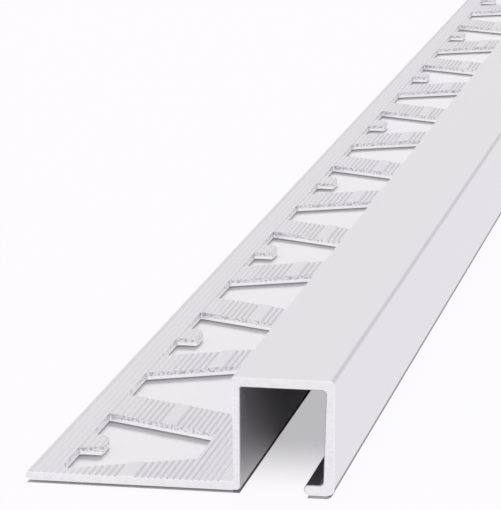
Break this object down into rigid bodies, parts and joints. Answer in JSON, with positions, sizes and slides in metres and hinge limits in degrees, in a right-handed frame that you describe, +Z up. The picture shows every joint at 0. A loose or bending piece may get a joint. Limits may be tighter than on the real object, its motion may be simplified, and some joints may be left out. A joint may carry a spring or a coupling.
{
  "type": "tile edge trim",
  "caption": "Square-edge aluminium tile trim: flat leg punched with trapezoid slots, hollow box edge with an inturned lip, cut length of extruded stock",
  "frame": {"origin": "middle of the trim's length and width, on the level of its underside", "axes": "+Y along the trim, +X from the leg's free edge to the outer face of the box, +Z up out of the bedding plane"},
  "size_m": [0.0294, 1, 0.011],
  "materials": {
    "aluminium": "matt natural anodised extrusion, sawn ends left bright"
  },
  "bodies": {
    "root": {"tile_trim": "aluminium"}
  },
  "joints": []
}
